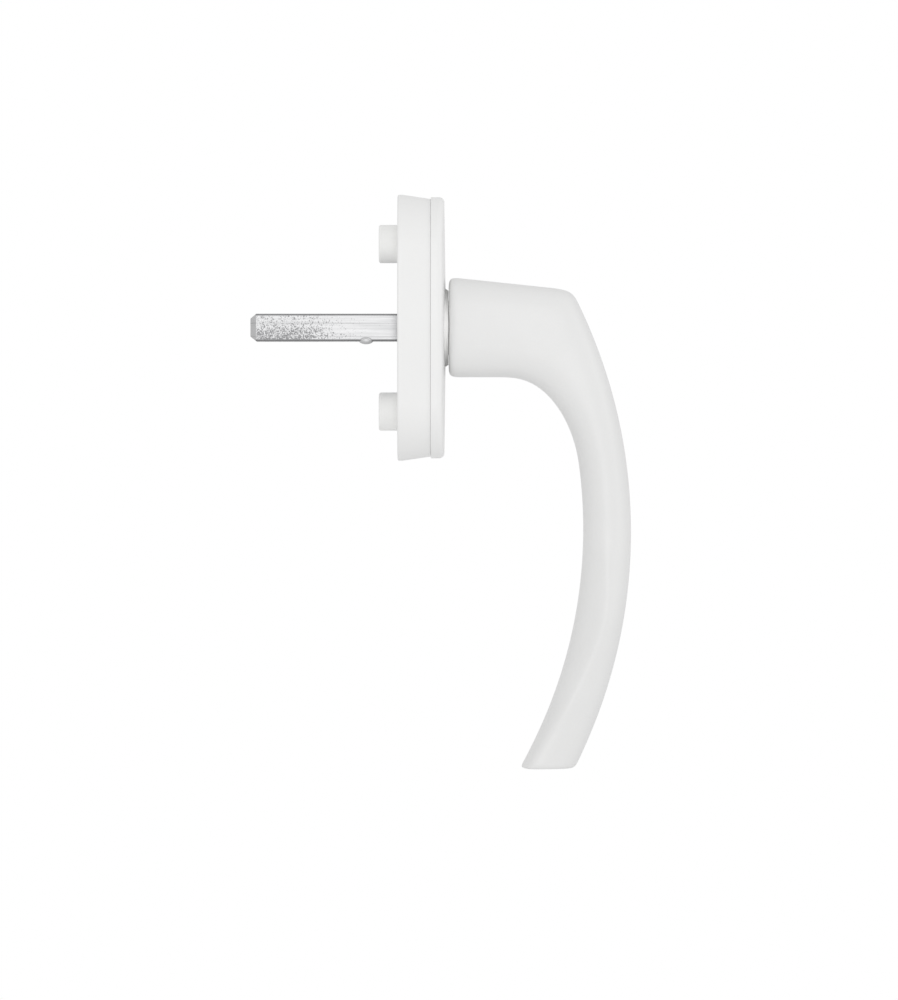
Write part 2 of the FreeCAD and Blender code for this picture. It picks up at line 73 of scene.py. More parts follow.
COLLAR_LIFT = 0.08 * MM           # the collar's end stands this much nearer the neck
SPIGOT = 7.0 * MM
SPIGOT_BACK = 5.45 * MM
TAIL = 6.0 * MM
TAIL_FLATS = 10.0 * MM            # across the flats that drive the detent wheel
CLIP_DEPTH = 1.05 * MM
CLIP_THICKNESS = 0.7 * MM
CLIP_GROOVE = 5.4 * MM
PIN = 1.25 * MM
PIN_DEPTH = 9.0 * MM
BUSH_BORE = 7.08 * MM
COLLAR = 10.0 * MM
COLLAR_END = 9.5 * MM
COLLAR_TAPER = 0.68 * MM
FLANGE = 11.5 * MM
FLANGE_THICKNESS = 1.0 * MM
FLANGE_EDGE = 0.15 * MM
SQUARE = 7.0 * MM                 # spindle, across its flats
SQUARE_EDGE = 0.3 * MM
SQUARE_END_EDGE = 0.12 * MM
TIP_LENGTH = 1.5 * MM
TIP_FLAT = 4.6 * MM
BULGE_CENTRE = (-2.89 * MM, 8.05 * MM, -3.3 * MM)
BULGE_RADII = (0.75 * MM, 1.9 * MM, 1.0 * MM)

# ---- lever outline, seen from the side ----
NECK_BACK = 13.1 * MM             # depth of the neck's back face
NECK_TOP = 12.98 * MM
NECK_BOTTOM = -12.68 * MM
NECK_SLOPE = math.radians(6.0)
GRIP_PROJECTION = 59.95 * MM
BOW_HEIGHT = -52.4 * MM
OUTER_RADIUS = 133.6 * MM
INNER_RADIUS = 123.4 * MM
INNER_RISE = 0.8 * MM
GRIP_THICKNESS = 12.25 * MM
GRIP_END = -112.95 * MM
THROAT_START = (28.0 * MM, NECK_BOTTOM)
THROAT_END_HEIGHT = -34.8 * MM
THROAT_REACH = (10.4 * MM, 11.0 * MM)
PIVOT = (28.0 * MM, -34.8 * MM)   # the elbow's cross-sections fan out from here
SHOULDER_ANGLE = 68.7             # degrees, where the neck's top meets the grip's outer arc
ELBOW_ANGLES = (89, 83, 77, 72.4, SHOULDER_ANGLE, 65.2, 60, 53, 44, 34, 23, 11)
NECK_LAST = 24 * MM               # depth of the neck's last upright cross-section
GRIP_SECTIONS = 11
WIDTHS = [(0, 21.0), (35, 19.6), (75, 18.6), (150, 19.4)]   # mm along the lever, mm wide
FULLNESS = [(0, 3.4), (20, 3.4), (65, 2.35)]                # mm along, superellipse exponent
NECK_STEP = 3.2 * MM              # ring spacing that rounds the neck's back edge
END_STEP = 2.0 * MM               # ring spacing that rounds the edge of the grip's end
RIDGE_START = -60.0 * MM          # height where the soft ridge on the grip's flanks begins
RIDGE_END = -108.0 * MM
RIDGE_CREASE = 0.35
SKIN_LEVELS = 3
ROUND = 96                        # sides of a round shape

# ---- studio ----
CAMERA_DISTANCE = 1.5
VIEW_HEIGHT = 256.64 * MM
VIEW_DEPTH = 13.19 * MM
VIEW_CENTRE_HEIGHT = -44.19 * MM
SENSOR = 36.0
FLOOR_HEIGHT = -0.27
FLOOR_RADIUS = 0.9
LIGHT_TARGET = (0, -0.02, -0.045)
WORLD_FILL = 0.80                 # brightness of the world as a light; it is 1 to the camera


# ---------------------------------------------------------------------------------------------
# Modelling tools
# ---------------------------------------------------------------------------------------------

def place(depth, height, side=0.0):
    return Vector((side, -depth, height))


def name_piece(name):
    """Names the new primitive and sets its place into its mesh."""
    piece = bpy.context.object
    piece.name = name
    piece.data.name = name
    bpy.ops.object.transform_apply(location=True, rotation=True, scale=True)
    return piece


def activate(piece):
    bpy.ops.object.select_all(action="DESELECT")
    piece.select_set(True)
    bpy.context.view_layer.objects.active = piece


def round_bar(name, radius, depth_from, depth_to, side=0.0, height=0.0, sides=ROUND):
    """A bar along the spindle's direction, with no corner on the upright middle plane."""
    bpy.ops.object.select_all(action="DESELECT")
    bpy.ops.mesh.primitive_cylinder_add(
        vertices=sides, radius=radius, depth=depth_to - depth_from,
        location=place((depth_from + depth_to) / 2, height, side),
        rotation=(math.pi / 2, math.pi / sides, 0),
    )
    return name_piece(name)


def box_bar(name, width, height, depth_from, depth_to):
    bpy.ops.object.select_all(action="DESELECT")
    bpy.ops.mesh.primitive_cube_add(
        size=1.0, location=place((depth_from + depth_to) / 2, 0),
        scale=(width, depth_to - depth_from, height),
    )
    return name_piece(name)


def edit():
    bpy.ops.object.mode_set(mode="EDIT")


def leave():
    bpy.ops.object.mode_set(mode="OBJECT")


def pick(kind, test):
    """In edit mode, selects only the vertices, edges or faces that pass the test."""
    bpy.ops.mesh.select_mode(type=kind)
    bpy.ops.mesh.select_all(action="DESELECT")
    mesh = bpy.context.object.data
    shape = bmesh.from_edit_mesh(mesh)
    shape.verts.index_update()
    for element in {"VERT": shape.verts, "EDGE": shape.edges, "FACE": shape.faces}[kind]:
        if test(element):
            element.select_set(True)
    bmesh.update_edit_mesh(mesh)


def middle(edge):
    return (edge.verts[0].co + edge.verts[1].co) / 2


def is_flat(edge, depth):
    """Whether an edge lies at one depth."""
    return all(abs(v.co.y + depth) < 0.01 * MM for v in edge.verts)


def pull_apart(straight):
    """Makes a round bar oval, by moving its upper and lower halves apart."""
    pick("VERT", lambda v: v.co.z > 0)
    bpy.ops.transform.translate(value=(0, 0, straight))
    pick("VERT", lambda v: v.co.z < 0)
    bpy.ops.transform.translate(value=(0, 0, -straight))


def oval_bar(name, half_height, half_width, depth_from, depth_to):
    piece = round_bar(name, half_width, depth_from, depth_to)
    edit()
    pull_apart(half_height - half_width)
    leave()
    return piece


def combine(piece, tool, operation):
    """Cuts the tool out of the piece, or joins it on."""
    activate(piece)
    modifier = piece.modifiers.new("shape", "BOOLEAN")
    modifier.object = tool
    modifier.operation = operation
    modifier.solver = "EXACT"
    bpy.ops.object.modifier_apply(modifier=modifier.name)
    bpy.data.objects.remove(tool)


def bevel_edges(test, width, segments):
    pick("EDGE", test)
    bpy.ops.mesh.bevel(offset=width, segments=segments, affect="EDGES")


def smooth(piece, degrees=32):
    """Smooth shading that keeps corners, with flat faces staying flat."""
    activate(piece)
    edit()
    bpy.ops.mesh.select_all(action="SELECT")
    bpy.ops.mesh.remove_doubles(threshold=0.001 * MM)
    bpy.ops.mesh.normals_make_consistent(inside=False)
    leave()
    bpy.ops.object.shade_smooth_by_angle(angle=math.radians(degrees))
    modifier = piece.modifiers.new("flats", "WEIGHTED_NORMAL")
    modifier.keep_sharp = True
    bpy.ops.object.modifier_apply(modifier=modifier.name)


def finish_piece(piece, body, nodes, material):
    """Puts a finished piece on its body, in place of its CAD nodes, with its finish."""
    piece.data.materials.clear()
    piece.data.materials.append(material)
    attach(piece, body)
    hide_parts(*nodes)


# ---------------------------------------------------------------------------------------------
# Materials
# ---------------------------------------------------------------------------------------------

def new_group(name, inputs, outputs):
    """A shader node group with named inputs and outputs."""
    group = bpy.data.node_groups.new(name, "ShaderNodeTree")
    for label, kind, value in inputs:
        socket = group.interface.new_socket(label, in_out="INPUT", socket_type=kind)
        if value is not None:
            socket.default_value = value
    for label, kind in outputs:
        group.interface.new_socket(label, in_out="OUTPUT", socket_type=kind)
    return group, group.nodes.new("NodeGroupInput"), group.nodes.new("NodeGroupOutput")


def noise(nodes, links, vector, scale, detail, roughness=0.5):
    node = nodes.new("ShaderNodeTexNoise")
    node.inputs["Scale"].default_value = scale
    node.inputs["Detail"].default_value = detail
    node.inputs["Roughness"].default_value = roughness
    links.new(vector, node.inputs["Vector"])
    return node.outputs["Fac"]


def spread(nodes, links, value, low, high, to_low=0.0, to_high=1.0):
    """Stretches a value's range from low-high to another range."""
    node = nodes.new("ShaderNodeMapRange")
    node.inputs["From Min"].default_value = low
    node.inputs["From Max"].default_value = high
    node.inputs["To Min"].default_value = to_low
    node.inputs["To Max"].default_value = to_high
    links.new(value, node.inputs["Value"])
    return node.outputs["Result"]


def arithmetic(nodes, links, operation, first, second):
    node = nodes.new("ShaderNodeMath")
    node.operation = operation
    for socket, value in zip(node.inputs, (first, second)):
        if isinstance(value, (int, float)):
            socket.default_value = value
        else:
            links.new(value, socket)
    return node.outputs["Value"]


def mix_colors(nodes, links, factor, first, second):
    node = nodes.new("ShaderNodeMix")
    node.data_type = "RGBA"
    links.new(factor, node.inputs["Factor"])
    links.new(first, node.inputs["A"])
    links.new(second, node.inputs["B"])
    return node.outputs["Result"]


def make_mottle():
    """Slow drift of tone and gloss over a surface, with a fine grain in both."""
    inputs = [
        ("Vector", "NodeSocketVector", None),
        ("Light tone", "NodeSocketColor", (0.86, 0.86, 0.86, 1)),
        ("Dark tone", "NodeSocketColor", (0.8, 0.8, 0.8, 1)),
        ("Least roughness", "NodeSocketFloat", 0.4),
        ("Most roughness", "NodeSocketFloat", 0.5),
    ]
    outputs = [("Color", "NodeSocketColor"), ("Roughness", "NodeSocketFloat")]
    group, given, result = new_group("mottle", inputs, outputs)
    nodes, links = group.nodes, group.links
    patches = noise(nodes, links, given.outputs["Vector"], 45.0, 3.0)
    grain = noise(nodes, links, given.outputs["Vector"], 2600.0, 2.0)
    patches = spread(nodes, links, patches, 0.36, 0.66)
    grain = spread(nodes, links, grain, 0.3, 0.7)
    both = arithmetic(nodes, links, "MULTIPLY", patches, 0.65)
    both = arithmetic(nodes, links, "ADD", both, arithmetic(nodes, links, "MULTIPLY", grain, 0.35))
    color = mix_colors(nodes, links, both, given.outputs["Light tone"], given.outputs["Dark tone"])
    links.new(color, result.inputs["Color"])
    least, most = given.outputs["Least roughness"], given.outputs["Most roughness"]
    rough = arithmetic(nodes, links, "MULTIPLY", both, arithmetic(nodes, links, "SUBTRACT", most, least))
    rough = arithmetic(nodes, links, "ADD", rough, least)
    links.new(rough, result.inputs["Roughness"])
    return group


def make_peel():
    """The faint pebbled surface of powder coat or moulded plastic, as a height."""
    inputs = [
        ("Vector", "NodeSocketVector", None),
        ("Peel scale", "NodeSocketFloat", 1100.0),
        ("Grain scale", "NodeSocketFloat", 5200.0),
        ("Grain share", "NodeSocketFloat", 0.3),
    ]
    group, given, result = new_group("peel", inputs, [("Height", "NodeSocketFloat")])
    nodes, links = group.nodes, group.links
    peel = nodes.new("ShaderNodeTexVoronoi")
    peel.feature = "SMOOTH_F1"
    peel.inputs["Smoothness"].default_value = 0.8
    links.new(given.outputs["Vector"], peel.inputs["Vector"])
    links.new(given.outputs["Peel scale"], peel.inputs["Scale"])
    grain = nodes.new("ShaderNodeTexNoise")
    grain.inputs["Detail"].default_value = 2.0
    links.new(given.outputs["Vector"], grain.inputs["Vector"])
    links.new(given.outputs["Grain scale"], grain.inputs["Scale"])
    fine = arithmetic(nodes, links, "MULTIPLY", grain.outputs["Fac"], given.outputs["Grain share"])
    height = arithmetic(nodes, links, "ADD", peel.outputs["Distance"], fine)
    links.new(height, result.inputs["Height"])
    return group


def make_streaks():
    """Lines along the metal's drawing direction, and dull specks in the plating."""
    inputs = [
        ("Vector", "NodeSocketVector", None),
        ("Light tone", "NodeSocketColor", (0.7, 0.7, 0.7, 1)),
        ("Dark tone", "NodeSocketColor", (0.3, 0.3, 0.3, 1)),
        ("Speck amount", "NodeSocketFloat", 0.5),
    ]
    outputs = [
        ("Color", "NodeSocketColor"),
        ("Roughness", "NodeSocketFloat"),
        ("Height", "NodeSocketFloat"),
    ]
    group, given, result = new_group("streaks", inputs, outputs)
    nodes, links = group.nodes, group.links
    stretch = nodes.new("ShaderNodeMapping")
    stretch.inputs["Scale"].default_value = (1.0, 0.03, 1.0)
    links.new(given.outputs["Vector"], stretch.inputs["Vector"])
    lines = noise(nodes, links, stretch.outputs["Vector"], 2200.0, 4.0, 0.6)
    lines = spread(nodes, links, lines, 0.32, 0.68)
    specks = noise(nodes, links, given.outputs["Vector"], 900.0, 5.0, 0.65)
    specks = spread(nodes, links, specks, 0.52, 0.66)
    specks = arithmetic(nodes, links, "MULTIPLY", specks, given.outputs["Speck amount"])
    dark = arithmetic(nodes, links, "MULTIPLY", lines, 0.3)
    dark = arithmetic(nodes, links, "MAXIMUM", dark, specks)
    color = mix_colors(nodes, links, dark, given.outputs["Light tone"], given.outputs["Dark tone"])
    links.new(color, result.inputs["Color"])
    links.new(spread(nodes, links, dark, 0.0, 1.0, 0.24, 0.55), result.inputs["Roughness"])
    links.new(lines, result.inputs["Height"])
    return group


def start_material(name):
    """A material with its shader and object coordinates ready."""
    material = bpy.data.materials.new(name)
    material.use_nodes = True
    nodes = material.node_tree.nodes
    links = material.node_tree.links
    shader = nodes["Principled BSDF"]
    coordinates = nodes.new("ShaderNodeTexCoord").outputs["Object"]
    return material, nodes, links, shader, coordinates


def add_group(nodes, links, group, coordinates, values):
    node = nodes.new("ShaderNodeGroup")
    node.node_tree = group
    links.new(coordinates, node.inputs["Vector"])
    for label, value in values.items():
        node.inputs[label].default_value = value
    return node


def add_bump(nodes, links, shader, height, strength, distance):
    bump = nodes.new("ShaderNodeBump")
    bump.inputs["Strength"].default_value = strength
    bump.inputs["Distance"].default_value = distance
    links.new(height, bump.inputs["Height"])
    links.new(bump.outputs["Normal"], shader.inputs["Normal"])


def painted(name, light, dark, least_rough, most_rough, peel_scale, peel_depth):
    """A coated or moulded surface: drifting tone and gloss over a pebbled skin."""
    material, nodes, links, shader, coordinates = start_material(name)
    tone = add_group(nodes, links, MOTTLE, coordinates, {
        "Light tone": (*light, 1),
        "Dark tone": (*dark, 1),
        "Least roughness": least_rough,
        "Most roughness": most_rough,
    })
    links.new(tone.outputs["Color"], shader.inputs["Base Color"])
    links.new(tone.outputs["Roughness"], shader.inputs["Roughness"])
    skin = add_group(nodes, links, PEEL, coordinates, {"Peel scale": peel_scale})
    add_bump(nodes, links, shader, skin.outputs["Height"], 0.35, peel_depth)
    shader.inputs["IOR"].default_value = 1.5
    return material


def metal(name, light, dark, specks, line_depth):
    """Bare or plated steel with drawing lines."""
    material, nodes, links, shader, coordinates = start_material(name)
    shader.inputs["Metallic"].default_value = 1.0
    skin = add_group(nodes, links, STREAKS, coordinates, {
        "Light tone": (*light, 1),
        "Dark tone": (*dark, 1),
        "Speck amount": specks,
    })
    links.new(skin.outputs["Color"], shader.inputs["Base Color"])
    links.new(skin.outputs["Roughness"], shader.inputs["Roughness"])
    add_bump(nodes, links, shader, skin.outputs["Height"], 0.4, line_depth)
    return material


def absolute(nodes, links, value):
    return arithmetic(nodes, links, "ABSOLUTE", value, 0.0)


def distance_from_bulge(nodes, links, coordinates):
    """Distance from the spindle's staked bulge, on a scale where its surface is at 1."""
    scaled = nodes.new("ShaderNodeMapping")
    scaled.inputs["Location"].default_value = [-c / r for c, r in zip(BULGE_CENTRE, BULGE_RADII)]
    scaled.inputs["Scale"].default_value = [1 / r for r in BULGE_RADII]
    links.new(coordinates, scaled.inputs["Vector"])
    length = nodes.new("ShaderNodeVectorMath")
    length.operation = "LENGTH"
    links.new(scaled.outputs["Vector"], length.inputs["Vector"])
    return length.outputs["Value"]


def zinc_specks(nodes, links, coordinates, along, height):
    """Dull specks that thicken towards the tip and the bar's lower half, none on the taper."""
    reach = spread(nodes, links, along, 6 * MM, 24 * MM, 0.0, 0.85)
    low_half = spread(nodes, links, height, 1.2 * MM, -2.2 * MM, 0.62, 1.0)
    share = arithmetic(nodes, links, "MULTIPLY", reach, low_half)
    grain = noise(nodes, links, coordinates, 2600.0, 3.0, 0.6)
    coarse = noise(nodes, links, coordinates, 800.0, 2.0)
    coarse = arithmetic(nodes, links, "MULTIPLY", coarse, 0.3)
    grain = arithmetic(nodes, links, "ADD", grain, coarse)
    lowered = arithmetic(nodes, links, "MULTIPLY", share, 0.295)
    threshold = arithmetic(nodes, links, "SUBTRACT", 0.82, lowered)
    specks = arithmetic(nodes, links, "SUBTRACT", grain, threshold)
    specks = spread(nodes, links, specks, 0.0, 0.1, 0.0, 0.8)
    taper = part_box("spindle")[1].y - TIP_LENGTH
    bar = spread(nodes, links, along, taper - 0.2 * MM, taper, 1.0, 0.0)
    return arithmetic(nodes, links, "MULTIPLY", specks, bar)


def painted_edge_shade(nodes, links, side, height):
    # Painted shade: darkens the bar's four edges, where they turn away from the light.
    corner = arithmetic(nodes, links, "ADD", absolute(nodes, links, side), absolute(nodes, links, height))
    return spread(nodes, links, corner, 6.45 * MM, 6.6 * MM, 0.0, 0.8)


def die_line(nodes, links, height, line_height, depth):
    """A thin line that the drawing die left along the bar."""
    distance = absolute(nodes, links, arithmetic(nodes, links, "SUBTRACT", height, line_height))
    return spread(nodes, links, distance, 0.04 * MM, 0.12 * MM, depth, 0.0)


def spindle_zinc(name, light, dark):
    """Zinc on the drawn square bar: painted shade along its edges and round the bulge's foot, two die
    lines, specks, a clean bulge.
    """
    material, nodes, links, shader, coordinates = start_material(name)
    shader.inputs["Metallic"].default_value = 1.0
    split = nodes.new("ShaderNodeSeparateXYZ")
    links.new(coordinates, split.inputs["Vector"])
    side, along, height = split.outputs
    skin = add_group(nodes, links, STREAKS, coordinates, {
        "Light tone": (*light, 1),
        "Dark tone": (*dark, 1),
        "Speck amount": 0.0,
    })
    from_bulge = distance_from_bulge(nodes, links, coordinates)
    marks_and_painted_shade = zinc_specks(nodes, links, coordinates, along, height)
    for mark_or_painted_shade in (
        painted_edge_shade(nodes, links, side, height),
        die_line(nodes, links, height, 1.1 * MM, 0.4),
        die_line(nodes, links, height, -2.3 * MM, 0.25),
        # painted shade in the crease round the bulge's foot
        spread(nodes, links, from_bulge, 1.04, 1.22, 0.75, 0.0),
    ):
        marks_and_painted_shade = arithmetic(nodes, links, "MAXIMUM", marks_and_painted_shade, mark_or_painted_shade)
    off_bulge = spread(nodes, links, from_bulge, 1.01, 1.04)
    marks_and_painted_shade = arithmetic(nodes, links, "MULTIPLY", marks_and_painted_shade, off_bulge)
    darken = nodes.new("ShaderNodeMix")
    darken.data_type = "RGBA"
    darken.inputs["B"].default_value = (0.14, 0.14, 0.145, 1)
    links.new(marks_and_painted_shade, darken.inputs["Factor"])
    links.new(skin.outputs["Color"], darken.inputs["A"])
    links.new(darken.outputs["Result"], shader.inputs["Base Color"])
    rough = spread(nodes, links, skin.outputs["Roughness"], 0.24, 0.55, 0.4, 0.6)
    links.new(rough, shader.inputs["Roughness"])
    add_bump(nodes, links, shader, skin.outputs["Height"], 0.3, 0.006 * MM)
    return material


MOTTLE = make_mottle()
PEEL = make_peel()
STREAKS = make_streaks()

# One white powder coat made twice: the lever's copy is darker, which is painted shade, and the rosette's
# and cover's copy is lighter, which is painted light, for how the light falls on each.
LEVER_COAT_PAINTED_SHADE = painted(
    "lever_coat_painted_shade", (0.81, 0.81, 0.806), (0.785, 0.785, 0.78), 0.34, 0.44, 900.0, 0.03 * MM,
)
ROSETTE_COAT_PAINTED_LIGHT = painted(
    "rosette_coat_painted_light", (0.87, 0.87, 0.865), (0.85, 0.85, 0.845), 0.36, 0.46, 1000.0, 0.03 * MM,
)
WHITE_NYLON = painted(
    "white_nylon", (0.91, 0.91, 0.90), (0.88, 0.88, 0.87), 0.45, 0.6, 1500.0, 0.03 * MM,
)
WHITE_ACETAL = painted(
    "white_acetal", (0.92, 0.92, 0.91), (0.88, 0.88, 0.87), 0.35, 0.45, 1500.0, 0.02 * MM,
)
NATURAL_ACETAL = painted(
    "natural_acetal", (0.80, 0.78, 0.71), (0.74, 0.72, 0.66), 0.35, 0.5, 1500.0, 0.02 * MM,
)
SPINDLE_ZINC = spindle_zinc("spindle_zinc", (0.60, 0.60, 0.605), (0.47, 0.475, 0.48))
ZINC_STEEL = metal("zinc_steel", (0.78, 0.79, 0.80), (0.42, 0.43, 0.44), 0.75, 0.01 * MM)
HARD_STEEL = metal("hard_steel", (0.42, 0.42, 0.43), (0.22, 0.22, 0.23), 0.5, 0.01 * MM)
BRIGHT_STEEL = metal("bright_steel", (0.82, 0.83, 0.84), (0.66, 0.67, 0.68), 0.12, 0.002 * MM)


# ---------------------------------------------------------------------------------------------
# Rosette
# ---------------------------------------------------------------------------------------------

def make_rosette_base():
    """Tapered oval body with a hollow back, a hole for the collar and countersunk screw holes."""
    low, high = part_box("rosette_base")
    half_width = high.x
    half_height = high.z
    front = -low.y
    piece = oval_bar("rosette_base_coat", half_height, half_width, 0, BASE_STRAIGHT)
    edit()
    pick("FACE", lambda f: f.normal.y < -0.999)
    bpy.ops.mesh.inset(thickness=BASE_TAPER, depth=front - BASE_STRAIGHT)
    bevel_edges(lambda e: is_flat(e, front), RIM_EDGE, 2)
    bevel_edges(lambda e: is_flat(e, 0), BASE_EDGE, 4)
    leave()
    wall = half_height - BASE_WALL
    hollow = oval_bar("hollow", wall, half_width - BASE_WALL, -1 * MM, front - BASE_FRONT_WALL)
    combine(piece, hollow, "DIFFERENCE")
    combine(piece, round_bar("hole", COLLAR_HOLE, 0, front + 1 * MM), "DIFFERENCE")
    for height in (-SCREW_HEIGHT, SCREW_HEIGHT):
        combine(piece, make_countersink(height, front), "DIFFERENCE")
    smooth(piece)
    finish_piece(piece, "rosette", ["rosette_base"], ROSETTE_COAT_PAINTED_LIGHT)


def make_countersink(height, front):
    """The space that a countersunk screw's head and shank take."""
    tool = round_bar("countersink", SCREW_HOLE, 0, front - BASE_FRONT_WALL, 0, height, 48)
    flare = BASE_FRONT_WALL + SCREW_HEAD_OVERSHOOT
    edit()
    pick("FACE", lambda f: f.normal.y < -0.999)
    bpy.ops.mesh.inset(thickness=-flare, depth=flare, use_outset=False)
    leave()
    return tool


def make_cover():
    """Crowned oval cover with rounded edges: a tray with a hub that turns on the collar."""
    low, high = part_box("cover")
    rim = -high.y - RIM_DROP
    front = -low.y
    piece = oval_bar("cover_coat", high.z, high.x, rim, front)
    edit()
    bevel_edges(lambda e: is_flat(e, front), COVER_EDGE, 7)
    bevel_edges(lambda e: is_flat(e, rim), RIM_EDGE, 3)
    pick("FACE", lambda f: f.normal.y > 0.999)
    bpy.ops.mesh.inset(thickness=COVER_WALL, depth=0)
    hollow = front - rim - COVER_WALL - COVER_CROWN
    bpy.ops.mesh.inset(thickness=COVER_WALL_STEP, depth=-hollow)
    divide(COVER_CUTS_HIGH, (0, 0, 1))
    divide(COVER_CUTS_WIDE, (1, 0, 0))
    edge_base = front - COVER_EDGE * 1.1
    crown_front(2, high.z, COVER_CROWN, edge_base)
    crown_front(0, high.x, COVER_SIDE_CROWN, edge_base - COVER_CROWN)
    leave()
    hub = round_bar("hub", COVER_BORE + COVER_WALL, rim, front - COVER_WALL / 2)
    combine(piece, hub, "UNION")
    combine(piece, round_bar("bore", COVER_BORE, rim - 1 * MM, front + 1 * MM), "DIFFERENCE")
    edit()
    bevel_edges(lambda e: on_bore(e, front), BORE_EDGE, 3)
    leave()
    smooth(piece)
    finish_piece(piece, "cover", ["cover"], ROSETTE_COAT_PAINTED_LIGHT)


def divide(distances, direction):
    """Cuts edges through the whole piece at distances, in mm, to both sides of the middle."""
    for distance in sorted([-d for d in distances] + list(distances)):
        bpy.ops.mesh.select_all(action="SELECT")
        bpy.ops.mesh.bisect(plane_co=Vector(direction) * distance * MM, plane_no=direction)


def crown_front(axis, half_length, crown, behind):
    """Lowers the front away from the middle along one axis, so that it is crowned."""
    shape = bmesh.from_edit_mesh(bpy.context.object.data)
    levels = sorted({round(abs(v.co[axis]), 6) for v in shape.verts if v.co.y < -behind})
    for level in levels:
        drop = crown * (level / half_length) ** 2
        pick("VERT", lambda v: v.co.y < -behind and round(abs(v.co[axis]), 6) == level)
        bpy.ops.transform.translate(value=(0, drop, 0))


def on_bore(edge, front):
    """Whether an edge is on the front rim of the cover's bore."""
    at_radius = all(abs(math.hypot(v.co.x, v.co.z) - COVER_BORE) < 0.03 * MM for v in edge.verts)
    return at_radius and all(v.co.y < -front + COVER_SIDE_CROWN for v in edge.verts)


def make_bearing_bush():
    """Flanged bush whose tapered collar shows between the cover and the neck."""
    low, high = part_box("bearing_bush")
    back = -high.y
    end = -low.y + COLLAR_LIFT
    flange_front = back + FLANGE_THICKNESS
    taper_start = end - COLLAR_TAPER
    piece = round_bar("bearing_bush_turned", FLANGE, back, flange_front)
    edit()
    pick("FACE", lambda f: f.normal.y < -0.999)
    bpy.ops.mesh.inset(thickness=FLANGE - COLLAR, depth=0)
    out = (0, flange_front - taper_start, 0)
    bpy.ops.mesh.extrude_region_move(TRANSFORM_OT_translate={"value": out})
    bpy.ops.mesh.inset(thickness=COLLAR - COLLAR_END, depth=COLLAR_TAPER)
    bevel_edges(lambda e: is_flat(e, back) or on_flange(e, flange_front), FLANGE_EDGE, 2)
    leave()
    combine(piece, round_bar("bore", BUSH_BORE, back - 1 * MM, end + 1 * MM), "DIFFERENCE")
    smooth(piece, 20)
    finish_piece(piece, "rosette", ["bearing_bush"], WHITE_ACETAL)


def on_flange(edge, flange_front):
    """Whether an edge is on the outer rim of the flange's front."""
    return is_flat(edge, flange_front) and middle(edge).length > FLANGE


# ---------------------------------------------------------------------------------------------
# Spindle
# ---------------------------------------------------------------------------------------------

def make_spindle():
    """Square bar with broken edges, a tapered tip and a staked bulge on one edge."""
    low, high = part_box("spindle")
    tip = high.y
    piece = box_bar("spindle_bar", SQUARE, SQUARE, -tip, -low.y)
    edit()
    bpy.ops.mesh.select_all(action="SELECT")
    bpy.ops.mesh.bisect(plane_co=(0, tip - TIP_LENGTH, 0), plane_no=(0, 1, 0))
    pick("VERT", lambda v: v.co.y > tip - 0.01 * MM)
    narrow = TIP_FLAT / SQUARE
    bpy.ops.transform.resize(value=(narrow, 1, narrow), center_override=(0, tip, 0))
    bevel_edges(lambda e: abs(e.verts[0].co.y - e.verts[1].co.y) > 0.5 * MM, SQUARE_EDGE, 2)
    bevel_edges(lambda e: is_flat(e, -tip) or is_flat(e, -low.y), SQUARE_END_EDGE, 2)
    leave()
    bpy.ops.object.select_all(action="DESELECT")
    bpy.ops.mesh.primitive_uv_sphere_add(
        segments=48, ring_count=24, radius=1.0, location=BULGE_CENTRE, scale=BULGE_RADII,
    )
    bulge = name_piece("bulge")
    combine(piece, bulge, "UNION")
    combine(piece, make_pin_hole(), "DIFFERENCE")
    smooth(piece)
    finish_piece(piece, "handle", ["spindle"], SPINDLE_ZINC)


# ---------------------------------------------------------------------------------------------
# Lever
# ---------------------------------------------------------------------------------------------

def top_line(depth):
    return NECK_TOP - (depth - NECK_BACK) * math.tan(NECK_SLOPE)


def outer_centre():
    return Vector((GRIP_PROJECTION - OUTER_RADIUS, BOW_HEIGHT))


def inner_centre():
    return Vector((GRIP_PROJECTION - GRIP_THICKNESS - INNER_RADIUS, BOW_HEIGHT + INNER_RISE))


def arc_depth(centre, radius, height):
    return centre.x + math.sqrt(radius ** 2 - (height - centre.y) ** 2)


def outer_point(angle):
    """Where a ray from the pivot first meets the neck's top or the grip's outer arc."""
    start = Vector(PIVOT)
    ray = Vector((math.cos(angle), math.sin(angle)))
    to_top = (top_line(start.x) - start.y) / (ray.y + ray.x * math.tan(NECK_SLOPE))
    away = start - outer_centre()
    along = away.dot(ray)
    to_arc = -along + math.sqrt(along ** 2 - away.length_squared + OUTER_RADIUS ** 2)
    return start + ray * min(to_top, to_arc)


def throat_curve(t):
    """A point on the curve under the elbow, from the neck's underside to the grip's inner arc."""
    centre = inner_centre()
    end = Vector((arc_depth(centre, INNER_RADIUS, THROAT_END_HEIGHT), THROAT_END_HEIGHT))
    radial = (end - centre).normalized()
    start = Vector(THROAT_START)
    first = start + Vector((THROAT_REACH[0], 0))
    second = end + Vector((-radial.y, radial.x)) * THROAT_REACH[1]
    s = 1 - t
    return start * s ** 3 + first * 3 * s * s * t + second * 3 * s * t * t + end * t ** 3


def inner_point(angle):
    """Where a ray from the pivot meets the throat."""
    low, high = 0.0, 1.0
    for _ in range(40):
        t = (low + high) / 2
        offset = throat_curve(t) - Vector(PIVOT)
        if math.atan2(offset.y, offset.x) > angle:
            low = t
        else:
            high = t
    return throat_curve(t)


def blend(value, points):
    """Smooth change of a size between named places along the lever, in millimetres."""
    for (start, size), (end, next_size) in zip(points, points[1:]):
        if value <= end:
            t = max(0.0, (value - start) / (end - start))
            return size + (next_size - size) * t * t * (3 - 2 * t)
    return points[-1][1]


